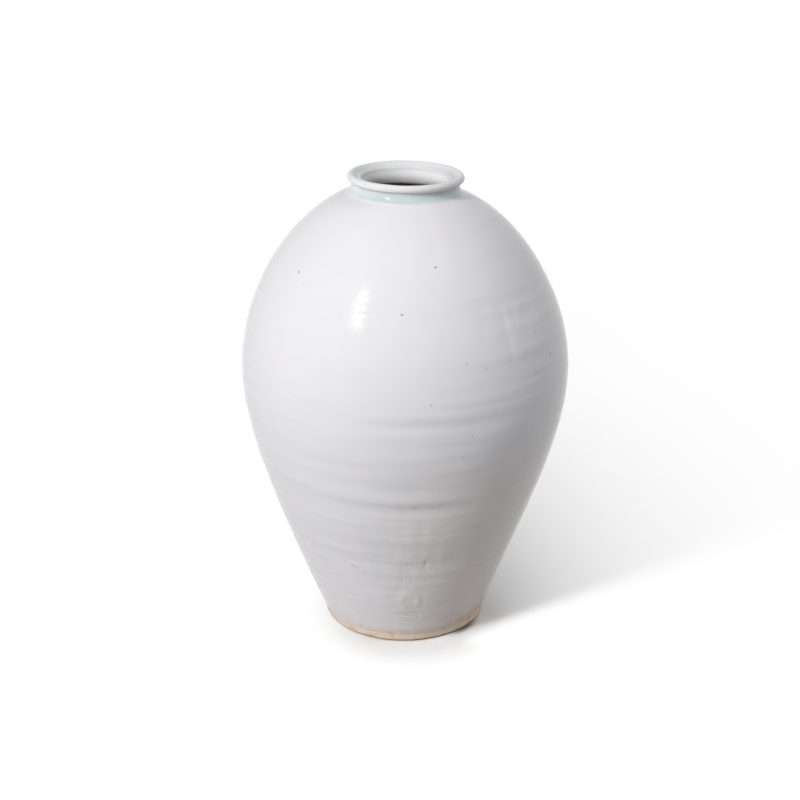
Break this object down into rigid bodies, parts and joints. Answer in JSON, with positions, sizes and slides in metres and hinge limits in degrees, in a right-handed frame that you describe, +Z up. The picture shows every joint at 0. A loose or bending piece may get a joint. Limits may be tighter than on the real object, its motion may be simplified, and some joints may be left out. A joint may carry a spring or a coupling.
{
  "type": "meiping vase",
  "caption": "Tall white-glazed meiping vase with full shoulder, short neck, rolled lip and bare clay foot, for storing wine or displaying blossom branches.",
  "frame": {"origin": "centre of the foot, on the plane that the vase stands on", "axes": "+Z up along the turning axis, towards the mouth; the vase is round, and -Y faces the viewer of the picture"},
  "size_m": [0.3148, 0.3148, 0.45],
  "materials": {
    "bare_clay": "unglazed fired clay, beige with orange-brown flashes",
    "floor_clay": "unglazed fired clay with a thin white wash",
    "body_glaze": "glossy bluish-white glaze over throwing rings",
    "pooled_glaze": "glossy pale blue-green glaze where it pools round the neck",
    "lip_glaze": "glossy white glaze"
  },
  "bodies": {
    "root": {"foot_ring": "bare_clay", "base_slab": "floor_clay", "lower_body": "body_glaze", "belly": "body_glaze", "shoulder": "body_glaze", "neck_collar": "pooled_glaze", "mouth_ring": "lip_glaze"}
  },
  "joints": []
}
